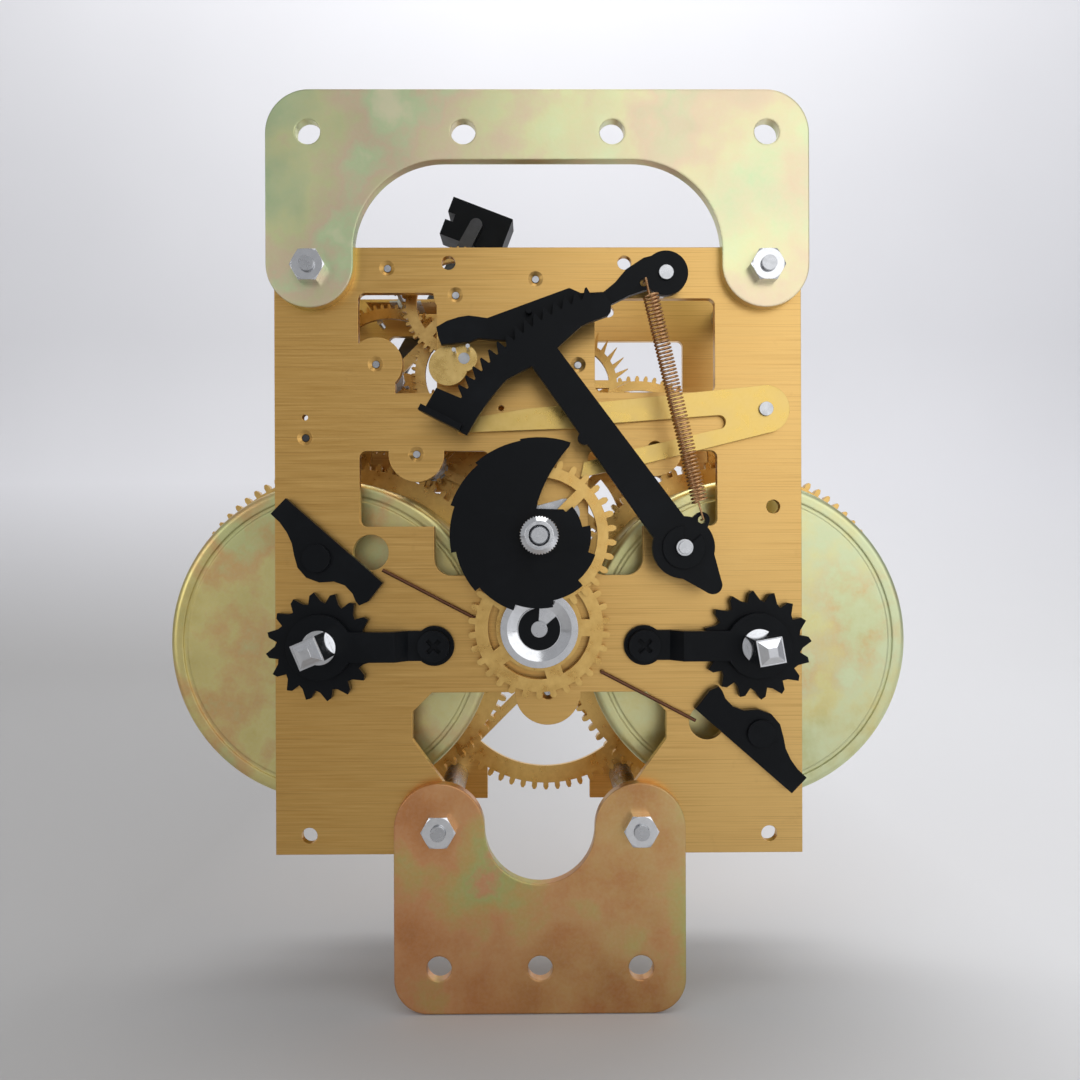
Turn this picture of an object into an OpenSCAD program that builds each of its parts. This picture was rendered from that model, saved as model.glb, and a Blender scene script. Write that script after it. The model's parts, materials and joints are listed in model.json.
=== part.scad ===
// Spring-driven pendulum clock movement with rack-and-snail striking.
// Millimetres. The origin is on the hand-arbor axis, at the front face of the front plate.
// +X is to the right, +Z is up, and the dial side faces -Y.

/* [Plates] */
// Width of both plates
plate_w = 106; // [100:1:116]
// Height of the plates above the hand arbor
plate_up = 58; // [57:0.5:64]
// Reach of the plates below the hand arbor
plate_down = 64; // [63:0.5:72]
// Thickness of both plates
plate_t = 1.8; // [1.4:0.1:2.2]
// Clear space between the plates
plate_gap = 38; // [37.5:0.5:44]
// Corner radius of the plate windows
window_r = 1.4; // [0.8:0.1:2]
// Height of the bottom notch, measured from the plate's lower edge
notch_h = 32.5; // [31:0.5:34]
// Half width of the bottom notch
notch_half_w = 25.6; // [23:0.2:26]

/* [Pillars and fasteners] */
// Pillar radius
pillar_r = 2.8; // [2.2:0.1:3.2]
// Thread radius of the pillar ends
thread_r = 1.5; // [1.2:0.1:1.8]
// Distance of the top pillars from the centre line
top_pillar_x = 45.3; // [43:0.1:47]
// Height of the top pillars above the hand arbor
top_pillar_z = 53.3; // [52.5:0.1:54]
// Distance of the bottom pillars from the centre line
bottom_pillar_x = 20; // [19.6:0.1:20.8]
// Depth of the bottom pillars below the hand arbor
bottom_pillar_z = 58.3; // [57.8:0.1:59]
// Width of the hexagon nuts across their corners
nut_w = 7; // [6:0.1:7.6]
// Thickness of the hexagon nuts
nut_t = 2.4; // [2:0.1:3]

/* [Brackets] */
// Thickness of the mounting brackets
bracket_t = 2.5; // [1.5:0.1:3]
// Half width of the top bracket
top_bracket_half_w = 54; // [54:0.5:58]
// Height of the top bracket's upper edge above the hand arbor
top_bracket_up = 88.6; // [84:0.2:94]
// Radius of the arch in the top bracket
arch_r = 18; // [15:0.5:19]
// Width of the strip above the arch
arch_strip = 13.9; // [12:0.1:15]
// Screw-hole radius of both brackets
screw_hole_r = 2.5; // [2:0.1:3]
// Distance of the outer screw holes from the centre line
outer_hole_x = 45.6; // [44:0.1:47]
// Distance of the inner screw holes from the centre line
inner_hole_x = 14.8; // [12:0.1:20]
// Depth of the bottom bracket's lower edge below the hand arbor
bottom_bracket_down = 95; // [91:0.2:100]
// Radius of the bottom bracket's two lobes
lobe_r = 9; // [8:0.1:9]
// Spacing of the bottom bracket's screw holes
bottom_hole_pitch = 20.1; // [17:0.1:21]

/* [Barrels and winding] */
// Distance of each barrel arbor from the centre line
barrel_x = 43.5; // [43.5:0.1:45]
// Depth of the barrel arbors below the hand arbor
barrel_z = 22; // [21.6:0.1:22.4]
// Outer radius of the barrel drums
drum_r = 33.8; // [31:0.2:34.4]
// Wall of the barrel drums
drum_wall = 1.2; // [0.8:0.1:1.6]
// Length of the barrel drums
drum_len = 20; // [18:0.5:21]
// Distance from the front plate's inner face to the barrel caps
barrel_setback = 6.2; // [5.8:0.1:7]
// Thickness of the great wheels
great_t = 2.2; // [1.6:0.1:2.4]
// Side of the winding squares
square_w = 5; // [4:0.1:5.4]
// Reach of the winding squares in front of the front plate
square_reach = 14.5; // [13:0.5:18]
// Tip radius of the ratchet wheels
ratchet_r = 10.9; // [10:0.1:11.2]
// Thickness of the ratchet wheels and clicks
ratchet_t = 1.6; // [1.2:0.1:1.8]

/* [Trains] */
// Thickness of the train wheels
wheel_t = 1.2; // [0.8:0.1:1.4]
// Radius of the arbors between the plates
arbor_r = 1; // [0.8:0.05:1.1]
// Radius of the pivots in the plates
pivot_r = 0.7; // [0.5:0.05:0.75]
// Clearance of a pivot in its hole
pivot_gap = 0.05; // [0.02:0.01:0.09]
// Clearance between pieces that seat on each other in one body
seat_gap = 0.02; // [0.01:0.01:0.04]
// Teeth of each great wheel
great_n = 90; // [88:1:92]
// Teeth of the second wheels of both trains
second_n = 64; // [60:1:66]
// Teeth of the escape wheel
escape_n = 30; // [24:1:36]
// Tip radius of the escape wheel
escape_r = 13; // [12:0.1:13.2]

/* [Motion work] */
// Distance between the hand arbor and the minute-wheel stud
motion_c = 18.3; // [18:0.1:18.8]
// Largest radius of the snail
snail_r = 19; // [17:0.1:19.4]
// Smallest radius of the snail
snail_low = 6.9; // [6.4:0.1:8]
// Radius of the hour pipe
hour_pipe_r = 3.4; // [3.2:0.1:3.7]
// Radius of the minute pipe inside it
minute_pipe_r = 2.4; // [2.1:0.05:2.6]
// Radius of the lifting cam behind the hour wheel
cam_r = 9.8; // [9:0.1:10]

/* [Striking work] */
// Thickness of the rack, the rack hook and the snail
rack_t = 1.4; // [1:0.1:1.6]
// Radius of the rack's tooth tips about its stud
rack_tip_r = 53.1; // [48:0.1:58]
// Depth of the rack's teeth
rack_tooth = 1.8; // [1.4:0.1:2]
// Thickness of the brass lifting lever
lever_t = 1; // [0.8:0.1:1.2]
// Coil radius of the rack spring, to the middle of its wire
spring_r = 1.4; // [1.15:0.05:1.5]
// Wire radius of the rack spring
spring_wire = 0.2; // [0.16:0.01:0.22]
// Curls of the rack spring
spring_curls = 46; // [30:1:47]
// Length of the hammer arm
hammer_len = 66.5; // [64:0.5:72]
// Length of the crutch below its arbor
crutch_len = 46; // [36:1:56]

/* [Hidden] */
$fn = 64;

brass = "#c79a4e";
black = "#23272a";
steel = "#b9bcc0";
zinc = "#b3ad6a";
copper = "#b98255";

// Depths between the plates, all measured from the front plate's inner face.
back_in = plate_t + plate_gap;
back_out = back_in + plate_t;
end_shake = 0.4;
cap_y = plate_t + barrel_setback;
great_y = cap_y + drum_len;
rear_layer = 1.3;
train_y = great_y + great_t + rear_layer;
second_y = train_y + wheel_t + 0.7;
centre_y = second_y + wheel_t + 1.2;
warning_y = plate_t + 4.6;
gather_y = plate_t + 10.2;
pin_y = plate_t + 16;
pin_len = 4.4;
escape_y = plate_t + 21.6;
fly_y = plate_t + 24.2;
fly_len = 11;

// Depths in front of the plates, stacked outwards with one running gap between layers.
run = 0.35;
lever_y = -0.4;
minute_y = lever_y - lever_t - run;
hour_y = minute_y - wheel_t - run;
dish_y = hour_y - wheel_t - run;
dish_t = 1;
snail_y = dish_y - dish_t - run;
hook_y = snail_y;
rack_y = snail_y - rack_t - run;
ratchet_y = -0.5;
bridge_y = ratchet_y - ratchet_t - run;
bridge_t = 1.2;
nut_back = rack_y - rack_t - 2.9;
hand_nut_t = 3;

// Tooth forms, in modules.
wheel_add = 0.8;
wheel_ded = 1.05;
wheel_thick = 0.45;
pinion_add = 0.55;
pinion_ded = 1.25;
pinion_thick = 0.36;
tip_share = 0.45;
minute_add = 0.45;
hour_add = 0.72;
great_p = 10;
second_p = 8;
centre_n = 80;
centre_p = 10;
third_n = 60;
third_p = 10;
cannon_n = 10;
minute_n = 30;
minute_p = 8;
hour_n = 32;
pinw_n = 64;
gather_n = 56;
strike_p = 8;
warning_n = 48;
fly_p = 14;
pin_count = 8;
pin_r = 0.6;

// Places of the arbors and studs, as [X, Z].
hand = [0, 0];
barrel_t = [barrel_x, -barrel_z];
barrel_s = [-barrel_x, -barrel_z];
great_c = 42.87;
second_at = barrel_t + great_c * unit([-41.8, -9.5]);
strike2_at = barrel_s + great_c * unit([18.8, 38.2]);
third_at = [23.5, 17.5];
escape_at = [8, 34.4];
verge_at = [-0.5, 51.7];
pinw_at = [-32.7, 34.6];
gather_at = [-14.5, 34.6];
warning_at = [-16.6, 48.5];
fly_at = [-30.3, 53.9];
hammer_at = [-46.9, 19.8];
minute_at = [0, -motion_c];
rack_at = gather_at + polar(rack_tip_r + 3, -41.24);
hook_at = [24.7, 50.7];
lever_at = [45.5, 25.2];
click_off = [-0.7, 17.6];
bridge_off = 22.5;
tail_at = rack_at + [-18.9, 21];
tail_pin_r = 0.7;
rack_fall = 28;
lug_at = rack_at + [3.5, 5.3];
spring_top = hook_at + [-4.3, -1.9];

function unit(v) = v / norm(v);
function polar(r, a) = [r * cos(a), r * sin(a)];
function angle(p, q) = atan2(q.y - p.y, q.x - p.x);
function mid_module(p, q, n1, n2) = 2 * norm(q - p) / (n1 + n2);

// Angle of a tooth of the driven gear q, so that it meshes with p, whose tooth is at ph.
function mesh(p, q, np, nq, ph) =
    let (a = angle(p, q)) a + 180 + 360 / nq * ((a - ph) * np / 360 + 0.5);

// Outline of a toothed wheel: radial flanks below the pitch circle, narrowing tips above it.
function gear_points(n, m, phase, add, ded, thick) =
    let (rp = m * n / 2, w = 180 * thick / n)
    [for (i = [0 : n - 1]) let (a = phase + 360 * i / n) each [
        polar(rp - ded * m, a - w), polar(rp, a - w), polar(rp + add * m, a - w * tip_share),
        polar(rp + add * m, a + w * tip_share), polar(rp, a + w), polar(rp - ded * m, a + w)]];

// Modules of the meshing pairs, from the distance of their arbors.
great_m = mid_module(barrel_t, second_at, great_n, great_p);
second_m = mid_module(second_at, hand, second_n, second_p);
centre_m = mid_module(hand, third_at, centre_n, centre_p);
third_m = mid_module(third_at, escape_at, third_n, third_p);
motion_m = 2 * motion_c / (cannon_n + minute_n);
strike2_m = mid_module(strike2_at, pinw_at, second_n, strike_p);
pinw_m = mid_module(pinw_at, gather_at, pinw_n, strike_p);
pin_ring_r = pinw_m * pinw_n / 2 - 3;
gather_m = mid_module(gather_at, warning_at, gather_n, strike_p);
warning_m = mid_module(warning_at, fly_at, warning_n, fly_p);

// Tooth angles at rest, passed along both trains.
second_ph = mesh(barrel_t, second_at, great_n, great_p, 0);
centre_ph = mesh(second_at, hand, second_n, second_p, 0);
third_ph = mesh(hand, third_at, centre_n, centre_p, 0);
escape_ph = mesh(third_at, escape_at, third_n, third_p, 0);
minute_ph = mesh(hand, minute_at, cannon_n, minute_n, 0);
hour_ph = mesh(minute_at, hand, minute_p, hour_n, 0);
strike2_ph = mesh(barrel_s, strike2_at, great_n, great_p, 0);
pinw_ph = mesh(strike2_at, pinw_at, second_n, strike_p, 0);
gather_ph = mesh(pinw_at, gather_at, pinw_n, strike_p, 0);
warning_ph = mesh(gather_at, warning_at, gather_n, strike_p, 0);
fly_ph = mesh(warning_at, fly_at, warning_n, fly_p, 0);

// Extrudes an outline in the X-Z plane from depth y0 back to y1.
module slab(y0, y1) {
    translate([0, y1, 0]) rotate([90, 0, 0]) linear_extrude(y1 - y0) children();
}

// Round bar along Y at the place p.
module rod(p, r, y0, y1) {
    translate([p.x, y1, p.y]) rotate([90, 0, 0]) cylinder(r = r, h = y1 - y0);
}

// Rectangle with round corners, in the X-Z plane.
module round_box(low, high, r) {
    translate([low.x, low.y + r]) square([high.x - low.x, high.y - low.y - 2 * r]);
    translate([low.x + r, low.y]) square([high.x - low.x - 2 * r, high.y - low.y]);
    for (x = [low.x + r, high.x - r], z = [low.y + r, high.y - r]) translate([x, z]) circle(r);
}

// Flat bar between rounds of radius ra at p and rb at q; its straight sides just cross the rounds.
side_share = 0.985;

module bar(p, q, ra, rb) {
    a = angle(p, q);
    lean = acos((ra - rb) / norm(q - p));
    polygon([p + polar(ra * side_share, a + lean), q + polar(rb * side_share, a + lean),
        q + polar(rb * side_share, a - lean), p + polar(ra * side_share, a - lean)]);
}

// The same bar with its two round ends.
module link(p, q, ra, rb) {
    bar(p, q, ra, rb);
    translate(p) circle(ra);
    translate(q) circle(rb);
}

// Openings between the spokes of a wheel.
module crossing(r_hub, r_rim, spokes, spoke_w) {
    difference() {
        circle(r_rim);
        circle(r_hub);
        for (i = [0 : spokes - 1]) rotate(i * 360 / spokes)
            translate([0, -spoke_w / 2]) square([r_rim + 1, spoke_w]);
    }
}

// Brass train wheel with spokes and a seat for its arbor.
module train_wheel(p, n, m, phase, y, bore, spokes, add = wheel_add, rim_w = 2.2) {
    rim = m * n / 2 - wheel_ded * m - rim_w;
    hub = bore + 2.2;
    slab(y, y + wheel_t) translate(p) difference() {
        polygon(gear_points(n, m, phase, add, wheel_ded, wheel_thick));
        rotate(45) crossing(hub, rim, spokes, 2.2);
        circle(bore);
    }
}

// Steel pinion along Y.
module pinion(p, n, m, phase, y0, y1) {
    slab(y0, y1) translate(p) polygon(gear_points(n, m, phase, pinion_add, pinion_ded, pinion_thick));
}

// Arbor with a turned-down pivot at each end, running in both plates.
module arbor(p, r = arbor_r) {
    rod(p, r, plate_t + end_shake, back_in - end_shake);
    rod(p, pivot_r, end_shake, back_out - end_shake);
}

// Windows that both plates share.
module plate_windows() {
    difference() {
        round_box([-36.2, 28.7], [-20.4, 48.9], window_r);
        translate([-36.3, 28.6]) square([7.5, pinw_at.y - 28.6]);
        translate(pinw_at) circle(5.4);
        translate(warning_at) circle(4.4);
    }
    round_box([11.4, 28.8], [35.6, 47.7], window_r);
    for (side = [-1, 1]) difference() {
        union() {
            round_box([side * 23 - 13, 1.9], [side * 23 + 13, 17.1], window_r);
            round_box([side * 15.5 - 5.5, -8], [side * 15.5 + 5.5, 9], 3.4);
        }
        translate(side < 0 ? strike2_at : third_at) circle(5.6);
        translate(rack_at) circle(3.6);
    }
    difference() {
        notch_outline();
        translate(second_at) circle(6.6);
    }
}

// Notch in the lower edge of the plates, between the bottom pillars.
module notch_outline() {
    top = notch_h - plate_down;
    neck = bottom_pillar_x - 7.5;
    polygon([[-neck, -plate_down - 1], [-neck, -56], [-19, -50], [-notch_half_w, -41],
        [-notch_half_w, top - 4], [-notch_half_w + 4, top], [notch_half_w - 4, top],
        [notch_half_w, top - 4], [notch_half_w, -41], [19, -50], [neck, -56],
        [neck, -plate_down - 1]]);
}

// Shallow oil sink round a pivot hole, in the face at depth y that looks towards side (-1 front, 1 rear).
sink_r = 1.5;
sink_d = 0.5;

module oil_sink(p, y, side) {
    translate([p.x, y - side * sink_d, p.y]) rotate([side * -90, 0, 0])
        cylinder(r1 = pivot_r + pivot_gap, r2 = sink_r + 0.2, h = sink_d + 0.1);
}

module plate_blank(y0) {
    slab(y0, y0 + plate_t) difference() {
        translate([-plate_w / 2, -plate_down]) square([plate_w, plate_up + plate_down]);
        plate_windows();
        for (p = pivots) translate(p) circle(pivot_r + pivot_gap);
        for (p = pillar_places) translate(p) circle(thread_r + seat_gap);
        for (x = [-46.3, 46.3]) translate([x, -60.2]) circle(1.6);
        for (x = [-18, 17.4]) translate([x, 54.9]) circle(1.4);
    }
}

pillar_places = [[-top_pillar_x, top_pillar_z], [top_pillar_x, top_pillar_z],
    [-bottom_pillar_x, -bottom_pillar_z], [bottom_pillar_x, -bottom_pillar_z]];
pivots = [second_at, third_at, escape_at, strike2_at, pinw_at, warning_at, fly_at];
stud_r = 1.6;
tail_r = 1.2;
hand_r = 1.5;
gather_r = 1.1;
barrel_r = 4;
stud_places = [rack_at, hook_at, lever_at, minute_at];
click_places = [for (s = [-1, 1]) [s * barrel_x, -barrel_z] - s * click_off];
wire_r = 0.35;
wire_foot = [12.6, 5.4];
wire_feet = [for (s = [-1, 1]) [s * wire_foot.x, -barrel_z - s * wire_foot.y]];

module front_plate() {
    color(brass) difference() {
        plate_blank(0);
        for (p = concat(pivots, [verge_at, hammer_at])) oil_sink(p, 0, -1);
        slab(-1, plate_t + 1) {
            for (p = [[-7.5, 25.7], [-46.9, 23.9]]) translate(p) circle(0.6);
            translate(hand) circle(hand_r + pivot_gap);
            translate(gather_at) circle(gather_r + pivot_gap);
            for (p = [verge_at, hammer_at]) translate(p) circle(pivot_r + pivot_gap);
            for (p = [barrel_t, barrel_s]) translate(p) circle(barrel_r + pivot_gap);
            for (p = concat(stud_places, click_places)) translate(p) circle(tail_r + seat_gap);
            for (s = [-1, 1]) translate([s * (barrel_x - bridge_off), -barrel_z])
                circle(tail_r + seat_gap);
            for (p = wire_feet) translate(p) circle(wire_r + seat_gap);
            for (s = [-1, 1]) translate([s * 33.8, -20.45 - s * 17.15]) circle(3.6);
            translate([47.3, 5.7]) circle(1.4);
        }
    }
}

module rear_plate() {
    color(brass) difference() {
        plate_blank(back_in);
        for (p = concat(pivots, [hand, gather_at])) oil_sink(p, back_out, 1);
        slab(back_in - 1, back_out + 1) {
            for (p = [hand, gather_at]) translate(p) circle(pivot_r + pivot_gap);
            for (p = [barrel_t, barrel_s]) translate(p) circle(barrel_r + pivot_gap);
            translate(verge_at) circle(arbor_r + 1.4);
            translate(hammer_at) circle(arbor_r + pivot_gap);
            for (p = cock_feet) translate(p) circle(tail_r + seat_gap);
        }
    }
}

module pillars() {
    color(steel) for (p = pillar_places) {
        rod(p, pillar_r, plate_t, back_in);
        rod(p, thread_r, -bracket_t - nut_t - 0.8, back_out + nut_t + 0.8);
    }
}

// Hexagon nut with a chamfered outer face, standing from depth y0 to y1.
module hex_nut(p, y0, y1) {
    flat_r = nut_w * 0.44;
    difference() {
        intersection() {
            translate([p.x, y1, p.y]) rotate([90, 0, 0]) cylinder(d = nut_w, h = y1 - y0, $fn = 6);
            translate([p.x, y1, p.y]) rotate([90, 0, 0])
                cylinder(r1 = flat_r + 2 * (y1 - y0), r2 = flat_r, h = y1 - y0);
        }
        rod(p, thread_r + seat_gap, y0 - 1, y1 + 1);
    }
}

module front_nuts() {
    color(steel) for (p = pillar_places) hex_nut(p, -bracket_t - nut_t, -bracket_t);
}

module rear_nuts() {
    color(steel) for (p = pillar_places) hex_nut(p, back_out, back_out + nut_t);
}

// The top bracket's legs end in half rounds below the top pillars.
arch_half_w = 36.7;
top_leg_w = top_bracket_half_w - arch_half_w;
top_leg_low = 45.4;

module top_bracket() {
    arch_top = top_bracket_up - arch_strip;
    leg_r = top_leg_w / 2;
    hole_z = top_bracket_up - 8.4;
    color(zinc) slab(-bracket_t, 0) difference() {
        union() {
            round_box([-top_bracket_half_w, top_leg_low + leg_r],
                [top_bracket_half_w, top_bracket_up], leg_r);
            for (s = [-1, 1]) {
                translate([s * (top_bracket_half_w - leg_r) - leg_r, top_leg_low + leg_r])
                    square([top_leg_w, leg_r + 1]);
                translate([s * (top_bracket_half_w - leg_r), top_leg_low + leg_r]) circle(leg_r);
            }
        }
        translate([-arch_half_w, arch_top - arch_r - 30]) square([2 * arch_half_w, 30]);
        for (s = [-1, 1]) translate([s * (arch_half_w - arch_r), arch_top - arch_r]) circle(arch_r);
        translate([arch_r - arch_half_w, arch_top - arch_r - 1])
            square([2 * (arch_half_w - arch_r), arch_r + 1]);
        for (x = [-outer_hole_x, -inner_hole_x, inner_hole_x, outer_hole_x])
            translate([x, hole_z]) circle(screw_hole_r);
        for (s = [-1, 1]) translate([s * top_pillar_x, top_pillar_z]) circle(thread_r + seat_gap);
    }
}

module bottom_bracket() {
    half_w = bottom_pillar_x + lobe_r;
    u_r = bottom_pillar_x - lobe_r;
    color(copper) slab(-bracket_t, 0) difference() {
        union() {
            round_box([-half_w, -bottom_bracket_down], [half_w, -bottom_pillar_z - 8], 6.8);
            for (s = [-1, 1]) {
                translate([s * bottom_pillar_x - lobe_r, -bottom_pillar_z - 20]) square([2 * lobe_r, 20]);
                translate([s * bottom_pillar_x, -bottom_pillar_z]) circle(lobe_r);
            }
            translate([-bottom_pillar_x, -bottom_pillar_z - 20]) square([2 * bottom_pillar_x, 20]);
        }
        translate([0, -bottom_pillar_z]) circle(u_r);
        translate([-u_r, -bottom_pillar_z]) square([2 * u_r, 20]);
        for (i = [-1 : 1]) translate([i * bottom_hole_pitch, 9 - bottom_bracket_down]) circle(screw_hole_r);
        for (s = [-1, 1]) translate([s * bottom_pillar_x, -bottom_pillar_z]) circle(thread_r + seat_gap);
    }
}

// Barrels: drum, cap, great wheel and coiled mainspring ride together on the winding arbor.
hub_r = 5.6;
cap_edge = 1.4;
drum_seat = 2 * cap_edge;
drum_lip = 5;
drum_floor = 1;

module drum(p) {
    color(zinc) translate([p.x, great_y, p.y]) rotate([90, 0, 0]) rotate_extrude($fn = 128) difference() {
        translate([drum_r - drum_wall - drum_lip, 0]) square([drum_wall + drum_lip, drum_len - drum_seat]);
        translate([0, drum_floor]) square([drum_r - drum_wall, drum_len]);
    }
}

module barrel_cap(p) {
    groove = [0.9, 0.35];
    color(zinc) translate([p.x, great_y, p.y]) rotate([90, 0, 0]) rotate_extrude($fn = 128) difference() {
        union() {
            translate([0, drum_len - drum_seat]) square([drum_r - cap_edge, drum_seat]);
            translate([drum_r - cap_edge, drum_len - cap_edge]) circle(cap_edge, $fn = 32);
        }
        translate([0, drum_len - drum_seat - 1]) square([barrel_r + pivot_gap, drum_seat + 2]);
        translate([drum_r - 2 * cap_edge - groove.x, drum_len - groove.y]) square([groove.x, 1]);
    }
}

module great_wheel(p, phase) {
    color(brass) slab(great_y, great_y + great_t) translate(p) difference() {
        polygon(gear_points(great_n, great_m, phase, wheel_add, wheel_ded, wheel_thick));
        circle(barrel_r + pivot_gap);
    }
}

// Flat spiral of the mainspring, as one strip from the hub to the drum wall.
module mainspring(p) {
    turns = 7;
    strip = 0.8;
    steps = 24 * turns;
    r0 = hub_r + 1.2;
    pitch = (drum_r - drum_wall - 1.4 - r0 - strip) / turns;
    function at(i, out) = polar(r0 + pitch * i / 24 + out, 15 * i);
    color("#5c6166") slab(cap_y + drum_seat + 0.6, great_y - 1.6) translate(p)
        polygon(concat([for (i = [0 : steps]) at(i, strip)], [for (i = [steps : -1 : 0]) at(i, 0)]));
}

module winding_arbor(p, turn) {
    tip = 1.5;
    neck = bridge_y - bridge_t - 0.4;
    color(steel) {
        rod(p, barrel_r, bridge_y + run, back_out + 1);
        rod(p, hub_r, cap_y + drum_seat + end_shake, great_y - end_shake - 1);
        rod(p, square_w * 0.68, neck, bridge_y + run);
        slab(tip - square_reach, neck) translate(p) rotate(turn) square(square_w, center = true);
        translate([p.x, tip - square_reach + 0.2, p.y]) rotate([90, 0, 0]) rotate(45 + turn)
            cylinder(r1 = square_w * 0.68, r2 = square_w / 4, h = tip + 0.2, $fn = 4);
    }
}

ratchet_teeth = 16;
ratchet_bore = barrel_r + seat_gap;

module ratchet(p, turn) {
    function tooth(i) = let (a = turn + 360 * i / ratchet_teeth)
        [polar(ratchet_r, a), polar(ratchet_r - 0.5, a + 5), polar(ratchet_r - 2.2, a + 9),
            polar(ratchet_r - 1.8, a + 15)];
    color(black) slab(ratchet_y - ratchet_t, ratchet_y) translate(p) difference() {
        polygon([for (i = [0 : ratchet_teeth - 1]) each tooth(i)]);
        circle(ratchet_bore);
    }
}

// Click lever in the left barrel's sense; the right one is the same piece turned half round.
click_bore = 1.5;

module click_shape() {
    difference() {
        polygon([[-6.1, 12], [-9.1, 8.9], [-7.3, 7.2], [-5.9, 5.2], [-4.9, 3], [-4.5, 0.8], [-3.8, -1.8],
            [-2.1, -3.8], [0.5, -4.8], [3.4, -4.6], [5.6, -5.4], [7.1, -7], [7.7, -8.5], [8.4, -9.4],
            [10.2, -8.6], [13.1, -4.9]]);
        circle(click_bore + pivot_gap);
    }
}

module click(s) {
    color(black) slab(ratchet_y - ratchet_t, ratchet_y) translate([s * barrel_x, -barrel_z] - s * click_off)
        rotate(s > 0 ? 180 : 0) click_shape();
}

// Straight wire that presses the click, with its foot in the plate.
module click_spring(s) {
    from = [s * wire_foot.x, -barrel_z - s * wire_foot.y];
    far = [s * (barrel_x - 12.2), -barrel_z - s * 15.2];
    depth = -0.95;
    color("#5a2f22") {
        rod(from, wire_r, depth - wire_r, plate_t);
        translate([from.x, depth, from.y]) rotate([0, 90 - angle(from, far), 0])
            cylinder(r = wire_r, h = norm(far - from));
    }
}

// Cranked strap over the ratchet, screwed to the plate at its inner end.
module bridge(s) {
    p = [s * barrel_x, -barrel_z];
    q = [s * (barrel_x - bridge_off), -barrel_z];
    arm_w = 6;
    front = bridge_y - bridge_t;
    color(black) difference() {
        union() {
            rod(p, 6.5, front, bridge_y);
            rod(q, 4, -bridge_t, 0);
            translate([p.x, 0, p.y - arm_w / 2]) inward(s) linear_extrude(arm_w) polygon([
                [0, front], [bridge_off - 7.6, front], [bridge_off - 5.2, -bridge_t],
                [bridge_off, -bridge_t], [bridge_off, 0], [bridge_off - 6.4, 0],
                [bridge_off - 8.8, bridge_y], [0, bridge_y]]);
        }
        rod(p, square_w * 0.68 + pivot_gap, front - 1, bridge_y + 1);
        rod(q, tail_r + seat_gap, -bridge_t - 1, 1);
    }
}

// Turns an outline drawn outward from an arbor towards the centre line.
module inward(s) {
    if (s > 0) mirror([1, 0, 0]) children();
    else children();
}

module bridge_screws() {
    color(black) for (s = [-1, 1]) {
        q = [s * (barrel_x - bridge_off), -barrel_z];
        difference() {
            union() {
                rod(q, 3.2, -bridge_t - 1.7, -bridge_t);
                rod(q, tail_r, -bridge_t, plate_t + 0.6);
            }
            for (a = [0, 90]) translate([q.x, -bridge_t - 1.7, q.y]) rotate([0, a + 45, 0])
                cube([3.4, 1.4, 0.8], center = true);
        }
    }
}

module click_rivets() {
    color(black) for (p = click_places) {
        rod(p, click_bore, ratchet_y - ratchet_t - 0.1, 0);
        rod(p, 2.8, ratchet_y - ratchet_t - 0.7, ratchet_y - ratchet_t - 0.1);
        rod(p, tail_r, 0, plate_t);
    }
}

// Going train.
module second_arbor() {
    color(steel) {
        arbor(second_at, 2);
        pinion(second_at, great_p, great_m, second_ph, great_y - 0.4, great_y + great_t + 0.4);
    }
}

module second_wheel() {
    color(brass) train_wheel(second_at, second_n, second_m, 0, second_y, 2 + seat_gap, 4,
        rim_w = 4);
}

module centre_arbor() {
    color(steel) {
        rod(hand, 1.8, plate_t + end_shake, back_in - end_shake);
        rod(hand, hand_r, nut_back - hand_nut_t - 0.6, plate_t + 1);
        rod(hand, pivot_r, back_in - 1, back_out - end_shake);
        pinion(hand, second_p, second_m, centre_ph, second_y - 0.5, second_y + wheel_t + 0.4);
    }
}

module centre_wheel() {
    color(brass) train_wheel(hand, centre_n, centre_m, 0, centre_y, 1.8 + seat_gap, 6,
        rim_w = 5);
}

module third_arbor() {
    color(steel) {
        arbor(third_at, arbor_r);
        pinion(third_at, centre_p, centre_m, third_ph, centre_y - 0.3, centre_y + wheel_t + 0.3);
    }
}

module third_wheel() {
    color(brass) train_wheel(third_at, third_n, third_m, 0, train_y, arbor_r + seat_gap, 5);
}

module escape_arbor() {
    color(steel) {
        arbor(escape_at);
        pinion(escape_at, third_p, third_m, escape_ph, train_y - 0.3, train_y + wheel_t + 0.3);
    }
}

// Escape wheel with pointed teeth that lean into the turn.
module escape_wheel() {
    root = escape_r - 3;
    lean = 4;
    pitch = 360 / escape_n;
    color(brass) slab(escape_y, escape_y + wheel_t) translate(escape_at) difference() {
        polygon([for (i = [0 : escape_n - 1]) let (a = i * pitch) each [polar(root, a - pitch * 0.32),
            polar(escape_r, a + lean - 0.6), polar(escape_r, a + lean), polar(root, a + pitch * 0.2)]]);
        crossing(arbor_r + 2.4, root - 1.8, 4, 1.8);
        circle(arbor_r + seat_gap);
    }
}

// Anchor above the escape wheel, with both pallets just clear of the tooth tips.
pallet_gap = 0.6;
anchor_t = 2;

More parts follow.
